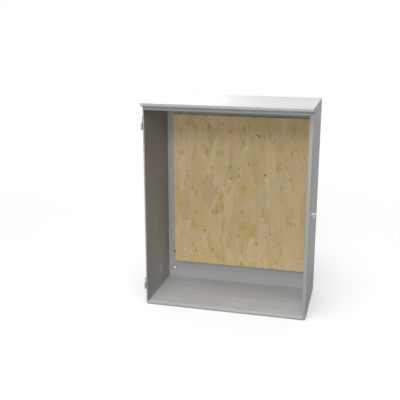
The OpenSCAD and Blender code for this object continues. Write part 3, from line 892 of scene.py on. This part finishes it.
# The rivet nut from its foot up, as height and radius: barrel, squeezed bulge under the shelf,
# shank in the shelf's hole, flange. Its bore is threaded.
barrel_r, flange_r = 3.25, 4.75
nut_thread_r, nut_thread_pitch, nut_thread_depth = 2.1, 0.8, 0.35
nut_profile = [
    (nut_foot, barrel_r - 0.3), (nut_foot + 0.3, barrel_r), (shelf_z - 5.6, barrel_r), (shelf_z - 5.0, 3.9),
    (shelf_z - 3.9, 4.3), (shelf_z - 2.9, 3.9), (shelf_z - 2.5, 3.3), (shelf_z - 2.4, barrel_r),
    (shelf_z, barrel_r), (shelf_z, flange_r), (nut_top - 0.2, flange_r), (nut_top, flange_r - 0.2)]
bore_z, bore_r = threaded(nut_thread_r, nut_foot, nut_top, nut_thread_pitch, -nut_thread_depth)
outer_z, outer_r = (np.repeat(column[:, None], turns, axis=1) for column in np.array(nut_profile).T)
lengths = np.concatenate([outer_z, bore_z[::-1]])
radii = np.concatenate([outer_r, bore_r[::-1]])
nut = turned((nut_x, nut_y, 0.0), 2, lengths, radii)
add_turned("rivet_nut_squeezed", [nut], True, plated, "latch_rivet_nut", 40)


# Knockouts: two conduit knockouts, one inside the other and off its centre, sheared almost through
# both side walls and left in place until a pipe needs them. Painted with the wall; their sheared
# edges are painted a light grey, partly paint cracked off and partly a painted highlight.
# Light grey on the sheared edges: partly bare steel where the paint cracked off, partly a painted highlight.
cracked_paint_and_highlight = (0.78, 0.78, 0.77, 1.0)
chipped_and_highlit_paint = grey_paint.copy()
chipped_and_highlit_paint.name = "grey_powder_coat_chipped_highlit_edges"
tree = chipped_and_highlit_paint.node_tree
shader = tree.nodes["Principled BSDF"]
whole_paint = shader.inputs["Base Color"].links[0].from_socket
facing_out = calculate(tree, "ABSOLUTE", facing_along(tree, "X", "True Normal"))
on_rim = between(tree, facing_out, 0.80, 0.95, 0.5, 0.0)
tree.links.new(mixed(tree, on_rim, whole_paint, cracked_paint_and_highlight), shader.inputs["Base Color"])
chipped_and_highlit = (chipped_and_highlit_paint, "painted_steel")

knockout_ease = 0.6
ring_turn = np.linspace(0, 2 * math.pi, 96, endpoint=False)


def sheared_rings(profile, z):
    """Rings in planes across the width, each from a row of x, y and radius: at an angle,
    (x, y + r cos(angle), z + r sin(angle))."""
    x, y, radius = np.array(profile, dtype=float).T[:, :, None]
    y_ring, z_ring = y + radius * np.cos(ring_turn), z + radius * np.sin(ring_turn)
    return np.stack([np.broadcast_to(x, y_ring.shape), y_ring, z_ring], axis=-1)


for side in ("left", "right"):
    ring_low, ring_high = corners_of(f"{side}_knockout_ring")
    slug_low, slug_high = corners_of(f"{side}_knockout_slug")
    _, ring_y, knockout_z = (ring_low + ring_high) / 2
    slug_y = (slug_low[1] + slug_high[1]) / 2
    ring_r, slug_r = (ring_high[1] - ring_low[1]) / 2, (slug_high[1] - slug_low[1]) / 2
    ease, bore = knockout_ease, slug_r + knockout_gap
    x0, x1 = ring_low[0], ring_high[0]
    ring = sheared_rings([
        (x0 + ease, ring_y, ring_r), (x0, ring_y, ring_r - ease), (x0, slug_y, bore + ease),
        (x0 + ease, slug_y, bore), (x1 - ease, slug_y, bore), (x1, slug_y, bore + ease),
        (x1, ring_y, ring_r - ease), (x1 - ease, ring_y, ring_r)], knockout_z)
    x0, x1 = slug_low[0], slug_high[0]
    slug = sheared_rings([
        (x0, slug_y, 0.0), (x0, slug_y, slug_r - ease), (x0 + ease, slug_y, slug_r),
        (x1 - ease, slug_y, slug_r), (x1, slug_y, slug_r - ease), (x1, slug_y, 0.0)], knockout_z)
    add_turned(f"{side}_knockout_outer", [ring], True, chipped_and_highlit, f"{side}_knockout_ring", 30)
    add_turned(f"{side}_knockout_inner", [slug], False, chipped_and_highlit, f"{side}_knockout_slug", 30)


# Plain solids: a detailed piece stands for each of them, and each still takes the finish of its
# slot, so that it matches its piece wherever it is shown by itself.
finish_of_slot = {"painted_steel": grey_paint, "strand_board": osb, "zinc_plated_steel": zinc}
for subpart in frame["record"]["subparts"]:
    node = frame["nodes"][subpart["node"]]
    node.data.materials.clear()
    node.data.materials.append(finish_of_slot[subpart["material_slot"]])


# Floor: a plain white sheet that fades into the white background. It takes the box's shadow only
# lightly, and throws little light back, as a matt studio sweep under soft lamps does.
floor_reach = 9.0
floor_seen = (0.785, 0.785, 0.785, 1.0)
floor_bounce = (0.10, 0.10, 0.10, 1.0)
fade_from, fade_to = 0.5, 2.6
glow_near_box = 0.5
floor_corners = [(x * floor_reach, y * floor_reach, 0.0) for x, y in ((-1, -1), (1, -1), (1, 1), (-1, 1))]
floor_mesh = bpy.data.meshes.new("floor")
floor_mesh.from_pydata(floor_corners, [], [(0, 1, 2, 3)])
floor = bpy.data.objects.new("floor", floor_mesh)
bpy.context.scene.collection.objects.link(floor)


def is_seen(tree):
    """1 for rays from the camera and for reflections, 0 for the light that surfaces throw around."""
    rays_of = [new_node(tree, "LightPath", outlet=name) for name in (
        "Is Camera Ray", "Is Glossy Ray", "Is Transmission Ray")]
    return calculate(tree, "MAXIMUM", calculate(tree, "MAXIMUM", rays_of[0], rays_of[1]), rays_of[2])


material, tree, shader, place = new_material("white_floor")
tree.nodes.remove(shader)
seen = is_seen(tree)
matt = new_node(tree, "BsdfDiffuse", {"Color": mixed(tree, seen, floor_bounce, floor_seen)})
white = new_node(tree, "Emission", {"Color": (1.0, 1.0, 1.0, 1.0)})
distance = new_node(tree, "VectorMath", {0: place}, "Value", operation="LENGTH")
fade = between(tree, distance, fade_from, fade_to, glow_near_box, 1.0, True)
fade = calculate(tree, "MULTIPLY", seen, fade)
tree.links.new(new_node(tree, "MixShader", {0: fade, 1: matt, 2: white}),
               tree.nodes["Material Output"].inputs["Surface"])
floor_mesh.materials.append(material)


# Studio: a white surround that is bright to look at and very weak as a light. Soft boxes hang above
# the opening and in front of it. One stands low in front and one to its right, with two behind the
# box and a weak one at either side.
surround_light = 0.02
world = bpy.data.worlds.new("studio")
bpy.context.scene.world = world
world.use_nodes = True
tree = world.node_tree
background = tree.nodes["Background"].inputs
background["Color"].default_value = (1.0, 1.0, 1.0, 1.0)
tree.links.new(between(tree, is_seen(tree), 0.0, 1.0, surround_light, 1.0), background["Strength"])


def soft_box(name, place, size, power, aim=(0.0, 0.0, 0.4)):
    """A square soft box at a place, turned to face a point."""
    data = bpy.data.lights.new(name, "AREA")
    data.shape = "SQUARE"
    data.size = size
    data.energy = power
    lamp = bpy.data.objects.new(name, data)
    bpy.context.scene.collection.objects.link(lamp)
    lamp.location = place
    lamp.rotation_euler = (Vector(aim) - Vector(place)).to_track_quat("-Z", "Y").to_euler()


soft_box("front_box", (0.0, -2.2, 3.0), 1.4, 12, aim=(0.0, -0.1, 0.4))
soft_box("over_box", (0.0, -0.9, 3.4), 1.4, 100)
soft_box("low_box", (0.0, -3.6, 1.0), 1.0, 48)
soft_box("right_box", (0.3, -3.0, 2.2), 0.8, 32)
soft_box("back_left_box", (-1.4, 2.8, 1.8), 1.6, 37)
soft_box("back_right_box", (1.4, 2.8, 1.8), 1.6, 37)
soft_box("left_side_box", (-3.0, 0.9, 1.6), 1.6, 18)
soft_box("right_side_box", (3.0, 0.9, 1.6), 1.6, 5)

bpy.context.scene.view_settings.view_transform = "Standard"
